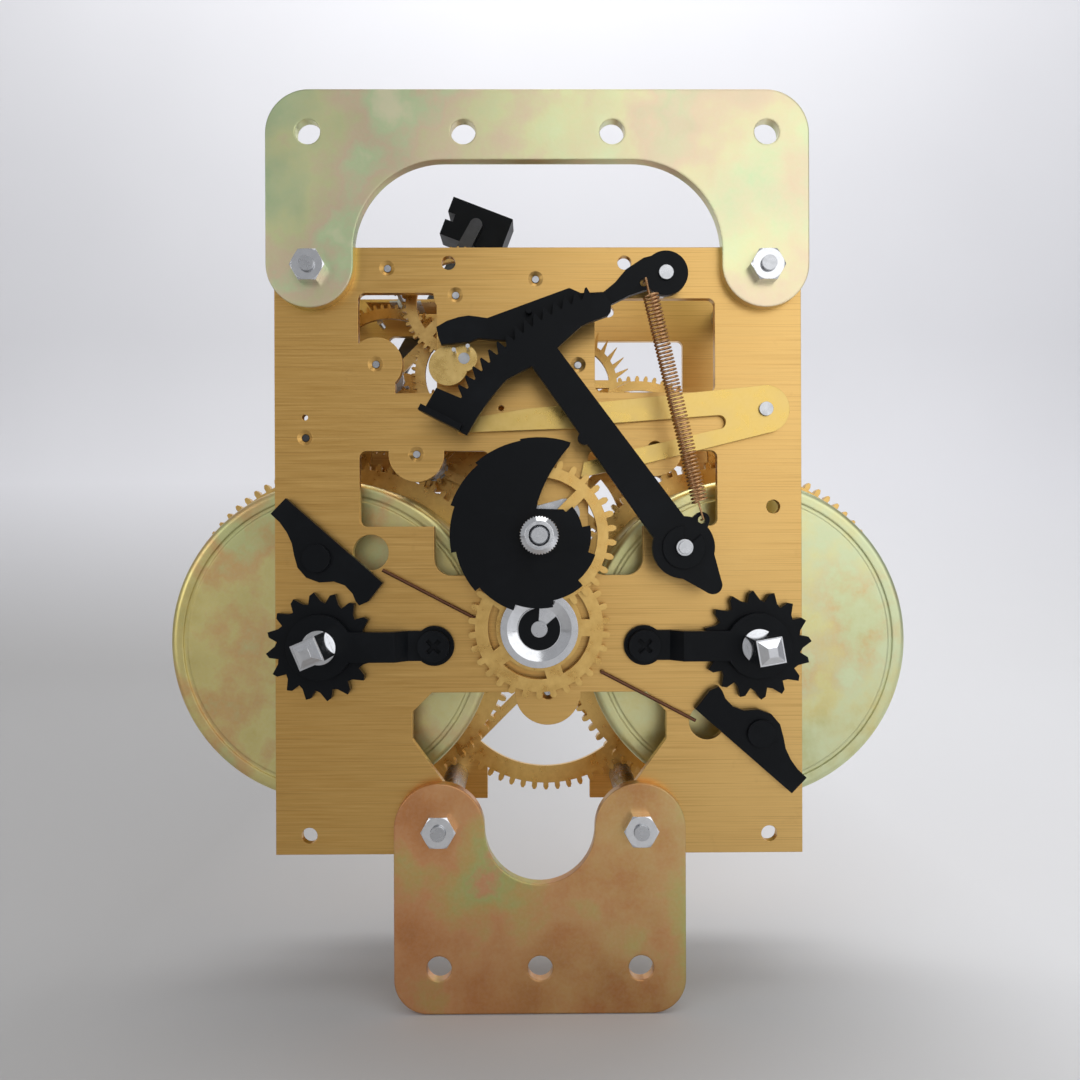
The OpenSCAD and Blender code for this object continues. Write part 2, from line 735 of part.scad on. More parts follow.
module anchor() {
    back = angle(escape_at, verge_at);
    span = 24;
    nib = escape_r + pallet_gap;
    belly = 2.6;
    y = escape_y + (wheel_t - anchor_t) / 2;
    function pallet(s) = [polar(nib + 3.2, back + s * (span + 6)), polar(nib + 0.2, back + s * (span + 6)),
        polar(nib, back + s * span)];
    reach = norm(verge_at - escape_at);
    left = pallet(1);
    right = pallet(-1);
    color(steel) slab(y, y + anchor_t) difference() {
        union() {
            translate(verge_at) circle(belly + 0.6);
            translate(escape_at) polygon([left[0], left[1], left[2], polar(reach - belly, back),
                right[2], right[1], right[0], polar(reach + belly, back)]);
        }
        translate(verge_at) circle(arbor_r + seat_gap);
    }
}

cock_depth = 11;
cock_t = 1.8;
cock_feet = [for (s = [-1, 1]) verge_at + [s * 11, 0]];

module verge_arbor() {
    color(steel) {
        rod(verge_at, arbor_r, plate_t + end_shake, back_out + cock_depth - end_shake);
        rod(verge_at, pivot_r, end_shake, back_out + cock_depth + cock_t - end_shake);
    }
}

module crutch() {
    y = back_out + cock_depth - 4.5;
    foot = verge_at - [0, crutch_len];
    color(steel) {
        slab(y, y + 1.2) difference() {
            union() {
                translate(verge_at) circle(2.6);
                translate([verge_at.x - 1.2, foot.y]) square([2.4, crutch_len]);
            }
            translate(verge_at) circle(arbor_r + seat_gap);
        }
        for (s = [-1, 1]) translate([foot.x + s * 2 - 0.6, y, foot.y - 6]) cube([1.2, 8, 7]);
        translate([foot.x - 2.6, y, foot.y - 1]) cube([5.2, 1.2, 2]);
    }
}

// Rear bracket for the verge, with a slit post for the pendulum's suspension spring.
module back_cock() {
    y = back_out + cock_depth;
    color(brass) difference() {
        union() {
            for (p = cock_feet) {
                rod(p, 2.6, back_out, y);
                rod(p, tail_r, back_in + 0.2, back_out);
            }
            slab(y, y + cock_t) {
                round_box(verge_at - [14, 4], verge_at + [14, 4], 3.8);
                round_box(verge_at + [-5, 0], verge_at + [5, 13], 2);
            }
            translate([verge_at.x - 2.5, y, verge_at.y + 5]) cube([5, 9, 6]);
        }
        rod(verge_at, pivot_r + pivot_gap, y - 1, y + cock_t + 1);
        translate([verge_at.x - 0.3, y + cock_t + 1, verge_at.y + 4]) cube([0.6, 9, 8]);
    }
}

// Motion work: cannon pinion with the lifting cam, minute wheel, hour wheel and snail.
module cannon_pinion() {
    color(steel) difference() {
        union() {
            slab(lever_y - lever_t, lever_y) for (a = [40, 220])
                link(polar(cam_r - 3, a), polar(0.1, a + 180), 3, 6);
            pinion(hand, cannon_n, motion_m, 0, minute_y - wheel_t - 0.15, lever_y - lever_t);
            rod(hand, minute_pipe_r, nut_back, minute_y - wheel_t - 0.15);
        }
        rod(hand, hand_r + seat_gap, nut_back - 1, lever_y + 1);
    }
}

module minute_wheel() {
    bore = stud_r + pivot_gap;
    rim = motion_m * minute_n / 2 - wheel_ded * motion_m - 2.6;
    color(brass) difference() {
        union() {
            slab(minute_y - wheel_t, minute_y) translate(minute_at) difference() {
                polygon(gear_points(minute_n, motion_m, minute_ph, minute_add, wheel_ded, wheel_thick));
                crossing(rim - 1.6, rim, 5, 3.4);
            }
            pinion(minute_at, minute_p, motion_m, 0, dish_y, minute_y - wheel_t);
        }
        rod(minute_at, bore, dish_y - 1, minute_y + 1);
    }
}

// Dished spring washer on the minute wheel's stud.
module minute_dish() {
    color("#dfe2e5") translate([minute_at.x, dish_y, minute_at.y]) rotate([90, 0, 0]) rotate_extrude()
        polygon([[stud_r + seat_gap, 0], [clip_r + 0.6, 0], [6.5, dish_t - 0.3], [7.6, dish_t - 0.3],
            [7.6, dish_t], [6.3, dish_t], [clip_r + 0.2, dish_floor], [stud_r + seat_gap, dish_floor]]);
}

module hour_wheel() {
    bore = minute_pipe_r + pivot_gap;
    color(brass) difference() {
        union() {
            train_wheel(hand, hour_n, motion_m, hour_ph, hour_y - wheel_t, bore, 4, hour_add);
            rod(hand, hour_pipe_r, nut_back + 0.8, hour_y - wheel_t);
        }
        rod(hand, bore, nut_back - 1, hour_y + 1);
    }
}

// Twelve-step snail; the steps deepen toward the low end and the cliff lets the rack's tail drop.
snail_start = 71;
snail_steps = 12;
cliff_gap = 0.35;

module snail() {
    step = 360 / snail_steps;
    swing = norm(tail_at - rack_at) + tail_pin_r + cliff_gap;
    first = angle(rack_at, tail_at);
    foot = hour_pipe_r + 1.8;
    color(black) slab(snail_y - rack_t, snail_y) difference() {
        polygon([for (i = [0 : snail_steps - 1], j = [0 : 6])
            polar(snail_r - (snail_r - snail_low) * pow(i / (snail_steps - 1), 1.5),
                snail_start + step * (i + j / 6))]);
        polygon(concat([for (a = [-6 : 3 : rack_fall + 2]) rack_at + polar(swing, first + a)],
            [polar(foot, snail_start + 24), polar(snail_low, snail_start - 24),
                polar(snail_r + 4, snail_start - 14)]));
        circle(hour_pipe_r + seat_gap);
    }
}

module hand_nut() {
    r = 3.7;
    face_r = 2.7;
    knurls = 40;
    color("#dfe2e5") intersection() {
        slab(nut_back - hand_nut_t, nut_back) polygon([for (i = [0 : knurls - 1]) let (a = i * 360 / knurls)
            each [polar(r, a), polar(r - 0.3, a + 180 / knurls)]]);
        translate([0, nut_back, 0]) rotate([90, 0, 0]) rotate_extrude()
            polygon([[hand_r + seat_gap, -1], [r + 1, -1], [r + 1, hand_nut_t - 1.9], [face_r, hand_nut_t],
                [2, hand_nut_t], [1.6, hand_nut_t - 0.9], [hand_r + seat_gap, hand_nut_t - 0.9]]);
    }
}

// Shouldered studs riveted into the front plate: place, front of the piece carried, its back, shoulder, nose.
clip_t = 0.45;
clip_gap = 0.05;
dish_floor = 0.5;
clip_r = 4.1;
rivet_r = 1;
clip_studs = [[rack_at, rack_y - rack_t, rack_y + 0.2, 3, 0.9],
    [minute_at, dish_y - dish_floor, minute_y + 0.2, 2.6, 0]];
rivet_studs = [[hook_at, hook_y - rack_t, hook_y + 0.2, 3],
    [lever_at, lever_y - lever_t, lever_y + 0.2, 2.6]];

module front_studs() {
    color(steel) {
        for (st = concat(clip_studs, rivet_studs)) {
            rod(st[0], tail_r, 0, plate_t);
            if (st[2] < 0) rod(st[0], st[3], st[2], 0);
        }
        for (st = clip_studs) {
            rod(st[0], stud_r, st[1] - clip_gap - clip_t - st[4], min(st[2], 0));
            if (st[4] > 0) rod(st[0], stud_r - 0.4, st[1] - clip_gap - clip_t - st[4] - 0.4, st[1]);
        }
        for (st = rivet_studs) {
            rod(st[0], rivet_r, st[1] - 0.3, min(st[2], 0));
            rod(st[0], rivet_r + 0.4, st[1] - 0.6, st[1] - 0.2);
        }
    }
}

// Spring clips with a wedge-shaped mouth.
module stud_clips() {
    mouth = [polar(0.6, 243), polar(clip_r + 2, 88), polar(clip_r + 2, 62), polar(clip_r + 2, 38)];
    color(black) for (st = clip_studs) slab(st[1] - clip_gap - clip_t, st[1] - clip_gap)
            translate(st[0]) difference() {
        circle(clip_r);
        circle(stud_r + seat_gap);
        polygon(mouth);
    }
}

// Rack: toothed sector about its stud, with the arm, the tail over the snail and the spring lug.
rack_from = 110;
rack_to = 146;
rack_teeth = 15;
sector_in = rack_tip_r - 6.4;
arm_angle = 126;
block_angle = rack_to + 6.5;
lug_hole_r = 0.75;

module rack_sector() {
    root = rack_tip_r - rack_tooth;
    pitch = (rack_to - rack_from) / rack_teeth;
    block = rack_tip_r + 3.2;
    back = block_angle - rack_from + 2;
    polygon(concat(
        [for (i = [0 : rack_teeth - 1]) let (a = rack_from + i * pitch) each
            [polar(root, a), polar(rack_tip_r, a + pitch * 0.12), polar(rack_tip_r, a + pitch * 0.3),
                polar(root, a + pitch * 0.85)]],
        [polar(root, rack_to), polar(block, rack_to + 1), polar(block, block_angle)],
        [for (i = [0 : 9]) polar(sector_in, block_angle - back * i / 9)],
        [polar(sector_in + 0.6, rack_from - 3), polar(sector_in + 2, rack_from - 3.6),
            polar(root - 0.6, rack_from - 3), polar(root, rack_from - 1.6)]));
}

module rack() {
    arm_end = polar(sector_in + 1, arm_angle);
    heel = [5.6, -7.2];
    hub = 6;
    flange_t = 1.2;
    flange_d = 3.4;
    color(black) {
        slab(rack_y - rack_t, rack_y) translate(rack_at) difference() {
            union() {
                rack_sector();
                circle(hub);
                bar([0, 0], arm_end, 3.7, 3);
                for (a = [-10, 9]) link(arm_end, polar(sector_in + 1.9, arm_angle + a), 3, 2.2);
                link([0, 0], heel, hub - 0.6, 1.8);
                bar([0, 0], lug_at - rack_at, 3.4, 1.5);
                translate(lug_at - rack_at) circle(1.5);
                translate(tail_at - rack_at) circle(tail_pin_r + 0.6);
            }
            circle(stud_r + pivot_gap);
            translate(lug_at - rack_at) circle(lug_hole_r);
        }
        rod(tail_at, tail_pin_r, rack_y - rack_t / 2, snail_y - 0.1);
        translate([rack_at.x, rack_y - flange_d, rack_at.y]) rotate([0, -block_angle, 0])
            translate([sector_in + 1.5, 0, -flange_t])
                cube([rack_tip_r + 2.4 - sector_in, flange_d - rack_t / 2, flange_t]);
    }
}

// Rack hook, behind the rack, with its beak over the teeth.
module rack_hook() {
    end_r = 4.3;
    beak_r = 0.7;
    beak = rack_at + polar(rack_tip_r + beak_r + 0.4, 123);
    upper = [[-4.3, 2.9], [-7.7, 0.7], [-9.9, -1.9], [-12.1, -3.7], [-16.5, -3.9], [-18.7, -2.9],
        [-34.6, -8.7], [-36.5, -8.4], [-38.2, -8.2], [-40.1, -8.5], [-42.3, -9.2], [-44.4, -10.4]];
    lower = [[-44, -12.4], [-43.5, -13.8], [-38.1, -13.3], [-36.2, -12.6], [-33, -12.9], [-28.1, -13.3],
        [-22.1, -9.7], [-15.6, -6.6], [-11.7, -6.6], [-7, -4.3], [-1.5, -2.5], [2.5, -0.7]];
    color(black) {
        slab(hook_y - rack_t, hook_y) difference() {
            union() {
                translate(hook_at) circle(end_r);
                translate(hook_at) polygon(concat([[0, end_r - 0.3]], upper, lower));
            }
            translate(hook_at) circle(rivet_r + pivot_gap);
            translate(spring_top) circle(lug_hole_r);
        }
        rod(beak, beak_r - 0.1, rack_y - rack_t, hook_y - rack_t / 2);
    }
}

// Rack spring: one unbroken wire from the hook's hole through its curls to the rack's lug.
spring_sides = 6;
spring_rings = 8;
spring_y = rack_y - rack_t - spring_r - 0.7;

module rack_spring() {
    lead = 3.4;
    run_v = unit(lug_at - spring_top);
    side_v = [run_v.y, -run_v.x];
    body = norm(lug_at - spring_top) - 2 * lead;
    count = spring_curls * spring_rings;
    function coil(i) = let (a = 360 * i / spring_rings, t = lead + body * i / count,
        q = spring_top + run_v * t + side_v * spring_r * sin(a))
        [q.x, spring_y + spring_r * cos(a), q.y];
    top_in = [spring_top.x, hook_y - 0.4, spring_top.y];
    low_in = [lug_at.x, rack_y - 0.4, lug_at.y];
    path = concat([top_in, [spring_top.x, spring_y + 0.6, spring_top.y]],
        [for (i = [0 : count]) coil(i)], [[lug_at.x, spring_y + 0.6, lug_at.y], low_in]);
    gap = min([for (i = [0 : spring_rings], j = [spring_rings - 2 : spring_rings + 2])
        norm(coil(i + j) - coil(i))]) - 2 * spring_wire;
    echo(spring_least_gap = gap);
    color(copper) tube(path, spring_wire, spring_sides);
}

// Closed tube of flat facets swept along a list of points.
module tube(path, r, sides) {
    last = len(path) - 1;
    function along(i) = unit(path[min(i + 1, last)] - path[max(i - 1, 0)]);
    function across(d) = unit(cross(d, abs(d.y) > 0.9 ? [0, 0, 1] : [0, 1, 0]));
    ring = [for (i = [0 : last]) let (d = along(i), u = across(d), v = cross(d, u))
        for (k = [0 : sides - 1]) path[i] + r * (cos(360 * k / sides) * u + sin(360 * k / sides) * v)];
    side_faces = [for (i = [0 : last - 1], k = [0 : sides - 1]) let (a = i * sides + k,
        b = i * sides + (k + 1) % sides) each [[a, a + sides, b], [b, a + sides, b + sides]]];
    ends = [for (k = [1 : sides - 2]) each [[0, k, k + 1],
        [last * sides, last * sides + k + 1, last * sides + k]]];
    polyhedron(points = ring, faces = concat(side_faces, ends));
}

// Brass lifting lever: a fork whose upper prong reaches under the rack.
module lifting_lever() {
    end_r = 4.8;
    slot_r = 1.4;
    slot_end = [-9.4, -2.6];
    slot = [slot_end + [0, slot_r], slot_end - [0, slot_r]];
    upper = [[0.2, end_r], [-33.6, 1.4], [-47.6, 0.2], [-61, -2], [-61.6, -4.6], [-38.8, -3.8], [-31, -2.8]];
    lower = [[-27.6, -8.2], [-36.5, -10.6], [-37.1, -13.6], [-25.4, -11.2], [2, -4.4]];
    color("#e3c06c") slab(lever_y - lever_t, lever_y) difference() {
        union() {
            translate(lever_at) circle(end_r);
            translate(lever_at) polygon(concat(upper, slot, lower));
        }
        translate(lever_at) circle(rivet_r + pivot_gap);
        translate(lever_at + slot_end) circle(slot_r);
    }
}

// Gathering pallet: eccentric brass disc with two steel pins, on the gathering arbor's front end.
module gathering_pallet() {
    y = hook_y + 0.4;
    color(brass) difference() {
        union() {
            slab(y, y + 0.7) {
                translate(gather_at + [-3.1, -1.5]) circle(3.8);
                translate(gather_at) circle(2.6);
            }
            for (a = [60, 150]) rod(gather_at + polar(1.95, a), 0.4, rack_y - rack_t, y);
        }
        rod(gather_at, gather_r + seat_gap, y - 1, y + 2);
    }
}

// Strike train.
module strike_second_wheel() {
    color(brass) {
        arbor(strike2_at, 1.4);
        pinion(strike2_at, great_p, great_m, strike2_ph, great_y - 0.4, great_y + great_t + 0.4);
        train_wheel(strike2_at, second_n, strike2_m, 0, train_y, 1.3, 5);
    }
}

module pin_wheel() {
    color(brass) {
        arbor(pinw_at);
        pinion(pinw_at, strike_p, strike2_m, pinw_ph, train_y - 0.3, train_y + wheel_t + 0.3);
        train_wheel(pinw_at, pinw_n, pinw_m, 0, pin_y, arbor_r - 0.1, 4);
    }
}

// Pins on the back of the pin wheel that lift the hammer tail.
module strike_pins() {
    color(steel) for (i = [0 : pin_count - 1]) rod(pinw_at + polar(pin_ring_r, i * 360 / pin_count + 10),
        pin_r, pin_y + wheel_t, pin_y + wheel_t + pin_len);
}

module gathering_wheel() {
    color(brass) {
        rod(gather_at, arbor_r, plate_t + end_shake, back_in - end_shake);
        rod(gather_at, gather_r, hook_y + 0.4, plate_t + end_shake);
        rod(gather_at, pivot_r, back_in - 1, back_out - end_shake);
        pinion(gather_at, strike_p, pinw_m, gather_ph, pin_y - 0.3, pin_y + wheel_t + 0.3);
        train_wheel(gather_at, gather_n, gather_m, 0, gather_y, arbor_r - 0.1, 4);
    }
}

module warning_wheel() {
    color(brass) {
        arbor(warning_at);
        pinion(warning_at, strike_p, gather_m, warning_ph, gather_y - 0.3, gather_y + wheel_t + 0.3);
        train_wheel(warning_at, warning_n, warning_m, 0, warning_y, arbor_r - 0.1, 4);
        rod(warning_at + polar(8.6, 200), 0.5, warning_y + wheel_t - 0.2, warning_y + wheel_t + 2.4);
    }
}

module fly() {
    half = 9;
    vane = 0.4;
    color(brass) {
        arbor(fly_at);
        pinion(fly_at, fly_p, warning_m, fly_ph, warning_y - 0.3, warning_y + wheel_t + 0.3);
        rod(fly_at, arbor_r + 0.8, fly_y, fly_y + fly_len);
        translate([fly_at.x - half, fly_y, fly_at.y - vane / 2]) cube([2 * half, fly_len, vane]);
    }
}

// Hammer on its own arbor: tail beside the pin wheel, arm and head behind the rear plate.
hammer_lean = 61.6;
hammer_y = back_out + nut_t + 1.8;
hammer_arm_t = 1.4;
hammer_end = hammer_at + polar(hammer_len, hammer_lean);

module hammer_arbor() {
    tail = norm(pinw_at - hammer_at) - pin_ring_r - pin_r - run;
    color(steel) {
        rod(hammer_at, arbor_r + 0.5, plate_t + end_shake, back_in - end_shake);
        rod(hammer_at, pivot_r, end_shake, plate_t + end_shake);
        rod(hammer_at, arbor_r, back_in - end_shake, hammer_y + hammer_arm_t);
        slab(pin_y + wheel_t + 0.6, pin_y + wheel_t + pin_len)
            link(hammer_at, hammer_at + polar(tail - 1, angle(hammer_at, pinw_at)), 2.6, 1);
        slab(hammer_y, hammer_y + hammer_arm_t) link(hammer_at, hammer_end, 2.8, 1.6);
    }
}

module hammer_head() {
    head = [16, 9, 10];
    slot = [2, 2];
    tilt = 21;
    place = [hammer_end.x, hammer_y + hammer_arm_t, hammer_end.y];
    color(black) translate(place) rotate([0, tilt, 0]) difference() {
        translate([-head.x / 2, 0, -head.z / 2]) cube(head);
        translate([-head.x / 2 - 1, -1, -slot.y / 2]) cube([slot.x + 1, head.y + 2, slot.y]);
    }
}

front_plate();
rear_plate();
pillars();
front_nuts();
rear_nuts();
top_bracket();
bottom_bracket();
drum(barrel_t);  // time_drum
great_wheel(barrel_t, 0);  // time_great_wheel
barrel_cap(barrel_t);  // time_barrel_cap
mainspring(barrel_t);  // time_mainspring
winding_arbor(barrel_t, 10);  // time_winding_arbor
ratchet(barrel_t, 4);  // time_ratchet
click(1);  // time_click
click_spring(1);  // time_click_spring
bridge(1);  // time_bridge
drum(barrel_s);  // strike_drum
great_wheel(barrel_s, 0);  // strike_great_wheel
barrel_cap(barrel_s);  // strike_barrel_cap
mainspring(barrel_s);  // strike_mainspring
winding_arbor(barrel_s, 23);  // strike_winding_arbor
ratchet(barrel_s, 7);  // strike_ratchet
click(-1);  // strike_click
click_spring(-1);  // strike_click_spring
bridge(-1);  // strike_bridge
bridge_screws();
click_rivets();
second_arbor();
second_wheel();
centre_arbor();
centre_wheel();
third_arbor();
third_wheel();
escape_arbor();
escape_wheel();
verge_arbor();
anchor();
crutch();
back_cock();
cannon_pinion();
minute_wheel();
minute_dish();
hour_wheel();
snail();
hand_nut();
front_studs();
stud_clips();
rack();
rack_hook();
rack_spring();
lifting_lever();
gathering_pallet();
strike_second_wheel();
pin_wheel();
strike_pins();
gathering_wheel();
warning_wheel();
fly();
hammer_arbor();
hammer_head();
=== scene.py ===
"""Spring-driven clock movement: materials, rack spring, studio and camera for the CAD part."""
import json
import math

import bmesh
import bpy
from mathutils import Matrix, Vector


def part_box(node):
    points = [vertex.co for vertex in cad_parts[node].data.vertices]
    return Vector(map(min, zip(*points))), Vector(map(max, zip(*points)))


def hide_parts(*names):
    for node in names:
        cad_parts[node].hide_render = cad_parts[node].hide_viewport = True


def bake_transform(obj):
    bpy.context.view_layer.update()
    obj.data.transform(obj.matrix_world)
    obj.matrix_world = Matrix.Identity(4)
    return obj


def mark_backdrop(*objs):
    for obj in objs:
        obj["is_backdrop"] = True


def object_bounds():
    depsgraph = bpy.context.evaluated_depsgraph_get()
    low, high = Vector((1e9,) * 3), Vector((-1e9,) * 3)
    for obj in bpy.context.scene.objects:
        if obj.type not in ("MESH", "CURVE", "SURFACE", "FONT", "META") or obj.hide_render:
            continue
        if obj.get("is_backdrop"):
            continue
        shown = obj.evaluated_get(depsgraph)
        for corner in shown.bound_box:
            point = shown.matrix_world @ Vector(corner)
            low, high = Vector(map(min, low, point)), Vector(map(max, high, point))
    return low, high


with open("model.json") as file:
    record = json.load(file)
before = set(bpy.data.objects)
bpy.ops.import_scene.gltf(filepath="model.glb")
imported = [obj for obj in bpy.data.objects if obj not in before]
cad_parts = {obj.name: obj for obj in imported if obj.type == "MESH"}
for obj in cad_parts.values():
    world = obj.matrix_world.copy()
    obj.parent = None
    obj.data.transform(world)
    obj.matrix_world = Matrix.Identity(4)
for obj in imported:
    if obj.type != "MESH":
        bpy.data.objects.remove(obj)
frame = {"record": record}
cad_low, cad_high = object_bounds()
scene = bpy.context.scene
MM = 0.001


# Node helpers

class Tree:
    """Small wrapper that adds and links shader nodes."""

    def __init__(self, made):
        made.use_nodes = True
        self.tree = made.node_tree
        self.tree.nodes.clear()
        self.out = self.add("ShaderNodeOutputMaterial")
        self.coord = self.add("ShaderNodeTexCoord").outputs["Object"]

    def add(self, kind, **values):
        node = self.tree.nodes.new(kind)
        for name, value in values.items():
            setattr(node, name, value)
        return node

    def link(self, source, target):
        self.tree.links.new(source, target)

    def put(self, socket, value):
        """Link a socket or set a number."""
        if isinstance(value, bpy.types.NodeSocket):
            self.link(value, socket)
        else:
            socket.default_value = value

    def put_colour(self, socket, value):
        """Link a socket or set an RGB colour."""
        self.put(socket, value if isinstance(value, bpy.types.NodeSocket) else (*value, 1.0))

    def mapped(self, name, value):
        """Object coordinates moved ("Location") or stretched ("Scale")."""
        node = self.add("ShaderNodeMapping")
        self.link(self.coord, node.inputs["Vector"])
        node.inputs[name].default_value = value
        return node.outputs["Vector"]

    def noise(self, scale, detail=3.0, rough=0.55, vector=None):
        node = self.add("ShaderNodeTexNoise")
        self.link(vector or self.coord, node.inputs["Vector"])
        node.inputs["Scale"].default_value = scale
        node.inputs["Detail"].default_value = detail
        node.inputs["Roughness"].default_value = rough
        return node.outputs["Fac"]

    def ramp(self, factor, stops):
        node = self.add("ShaderNodeValToRGB")
        self.link(factor, node.inputs["Fac"])
        band = node.color_ramp
        while len(band.elements) < len(stops):
            band.elements.new(0.5)
        for element, (place, colour) in zip(band.elements, stops):
            element.position = place
            element.color = (*colour, 1.0)
        return node.outputs["Color"]

    def span(self, value, low, high, new_low, new_high):
        """Map low..high to new_low..new_high, clamped."""
        node = self.add("ShaderNodeMapRange")
        self.link(value, node.inputs["Value"])
        node.inputs["From Min"].default_value = low
        node.inputs["From Max"].default_value = high
        node.inputs["To Min"].default_value = new_low
        node.inputs["To Max"].default_value = new_high
        return node.outputs["Result"]

    def spread(self, noise, new_low, new_high):
        """Map the usual reach of a noise, 0.3 to 0.7."""
        return self.span(noise, 0.3, 0.7, new_low, new_high)

    def math(self, operation, a, b=0.0):
        node = self.add("ShaderNodeMath", operation=operation)
        self.put(node.inputs[0], a)
        self.put(node.inputs[1], b)
        return node.outputs[0]

    def mix(self, factor, a, b):
        node = self.add("ShaderNodeMix", data_type="RGBA")
        self.put(node.inputs["Factor"], factor)
        self.put_colour(node.inputs[6], a)
        self.put_colour(node.inputs[7], b)
        return node.outputs[2]

    def axis(self, letter):
        node = self.add("ShaderNodeSeparateXYZ")
        self.link(self.coord, node.inputs[0])
        return node.outputs[letter]

    def radius(self, place):
        """Distance from the arbor through place = (X, Z), in metres."""
        node = self.add("ShaderNodeVectorMath", operation="MULTIPLY_ADD")
        self.link(self.coord, node.inputs[0])
        node.inputs[1].default_value = (1.0, 0.0, 1.0)
        node.inputs[2].default_value = (-place[0], 0.0, -place[1])
        length = self.add("ShaderNodeVectorMath", operation="LENGTH")
        self.link(node.outputs[0], length.inputs[0])
        return length.outputs["Value"]

    def bump(self, height, strength, distance, edge=0.0):
        """Relief of a height socket, distance metres deep; edge is the radius of the corners."""
        node = self.add("ShaderNodeBump")
        node.inputs["Strength"].default_value = strength
        node.inputs["Distance"].default_value = distance
        self.link(height, node.inputs["Height"])
        if edge:
            soft = self.add("ShaderNodeBevel", samples=4)
            soft.inputs["Radius"].default_value = edge
            self.link(soft.outputs["Normal"], node.inputs["Normal"])
        return node.outputs["Normal"]

    def surface(self, colour, metallic, roughness, normal=None, **fixed):
        node = self.add("ShaderNodeBsdfPrincipled")
        self.put_colour(node.inputs["Base Color"], colour)
        self.put(node.inputs["Metallic"], metallic)
        self.put(node.inputs["Roughness"], roughness)
        if normal is not None:
            self.link(normal, node.inputs["Normal"])
        for name, value in fixed.items():
            node.inputs[name.replace("_", " ")].default_value = value
        self.link(node.outputs[0], self.out.inputs["Surface"])


def material(name):
    made = bpy.data.materials.new(name)
    return made, Tree(made)


def shade(colour, share):
    """The same tint, darker or lighter."""
    return tuple(share * c for c in colour)


# Materials

PLATE_HALF = 0.053      # half width of the plates
FINE = 420.0            # noise scale of cut brass


def plate_brass():
    """Rolled brass sheet, brushed along X, with faint stains, fine scratches and painted shade:
    darker and more orange towards the left.
    """
    made, t = material("plate_brass")
    grain = t.noise(1.0, 4.0, 0.7, t.mapped("Scale", (60.0, 900.0, 2600.0)))
    scratch = t.noise(1.0, 2.0, 0.5, t.mapped("Scale", (25.0, 500.0, 5200.0)))
    cloud = t.noise(26.0, 3.0)
    stain = t.noise(95.0, 4.0, 0.65)
    # Painted shade: the brass goes from darker and more orange on the left to lighter on the
    # right, standing in for light falling from the right.
    to_right = t.span(t.axis("X"), -PLATE_HALF, PLATE_HALF, 0.0, 1.0)
    base = t.mix(to_right, (0.62, 0.345, 0.09), (0.74, 0.47, 0.165))
    base = t.mix(t.span(cloud, 0.35, 0.7, 0.0, 0.45), base, (0.60, 0.345, 0.10))
    base = t.mix(t.span(grain, 0.3, 0.72, 0.0, 0.5), base, (0.84, 0.57, 0.215))
    base = t.mix(t.span(scratch, 0.52, 0.70, 0.0, 0.5), base, (0.44, 0.24, 0.07))
    base = t.mix(t.span(stain, 0.62, 0.78, 0.0, 0.3), base, (0.40, 0.21, 0.065))
    rough = t.span(grain, 0.25, 0.75, 0.27, 0.42)
    t.surface(base, 1.0, rough, t.bump(grain, 0.3, 0.00006, 0.00018))
    return made


def cut_brass(name, dark, light, scale=FINE, tarnish=0.35):
    """Stamped and turned brass, with small tarnish spots."""
    made, t = material(name)
    fine = t.noise(scale, 4.0, 0.6)
    spot = t.noise(120.0, 3.0)
    base = t.mix(t.spread(fine, 0.0, 1.0), dark, light)
    base = t.mix(t.span(spot, 0.58, 0.78, 0.0, tarnish), base, shade(dark, 0.62))
    t.surface(base, 1.0, t.spread(fine, 0.24, 0.38), t.bump(fine, 0.14, 0.00005, 0.00012))
    return made


def passivated(name, stops, scale, right, shift=(0.0, 0.0, 0.0), bloom=0.1):
    """Zinc with an iridescent passivated film: soft patches of several tints and a fine grain.

    right = (tint, half width, share): the film turns towards that tint to the right.
    shift moves the patches; bloom is the share of the pale grain.
    """
    made, t = material(name)
    tint, half, share = right
    moved = t.mapped("Location", shift)
    patch = t.noise(scale, 3.0, 0.5, moved)
    film = t.noise(scale * 3.4, 4.0, 0.6, moved)
    grain = t.noise(1500.0, 2.0, 0.6)
    tone = t.math("ADD", t.math("MULTIPLY", patch, 0.72), t.math("MULTIPLY", film, 0.28))
    base = t.ramp(t.span(tone, 0.37, 0.63, 0.0, 1.0), stops)
    to_right = t.span(t.axis("X"), -half, half, 0.0, share)
    turn = t.math("MULTIPLY", to_right, t.span(film, 0.35, 0.65, 0.4, 1.6))
    base = t.mix(turn, base, tint)
    base = t.mix(t.span(grain, 0.35, 0.75, 0.0, bloom), base, (0.84, 0.80, 0.64))
    t.surface(base, 1.0, t.spread(film, 0.28, 0.40), t.bump(grain, 0.2, 0.00004, 0.0005))
    return made


def black_oxide():
    """Blackened steel, satin, with faint rubbed patches."""
    made, t = material("black_oxide")
    tint = (0.0055, 0.0065, 0.008)
    fine = t.noise(900.0, 4.0, 0.6)
    rub = t.noise(70.0, 4.0, 0.6)
    base = t.mix(t.span(rub, 0.5, 0.8, 0.0, 0.5), tint, shade(tint, 2.4))
    t.surface(base, 0.0, t.spread(rub, 0.30, 0.44), t.bump(fine, 0.16, 0.00005, 0.0002),
              Specular_IOR_Level=0.11)
    return made


def bright_metal(name, colour, rough, scale=700.0):
    """Plated or turned metal with a fine lathe grain; rough = (lowest, highest)."""
    made, t = material(name)
    fine = t.noise(scale, 3.0, 0.55, t.mapped("Scale", (1.0, 3.0, 1.0)))
    base = t.mix(t.spread(fine, 0.0, 0.5), colour, shade(colour, 0.78))
    t.surface(base, 1.0, t.spread(fine, *rough), t.bump(fine, 0.08, 0.00003, 0.00012))
    return made


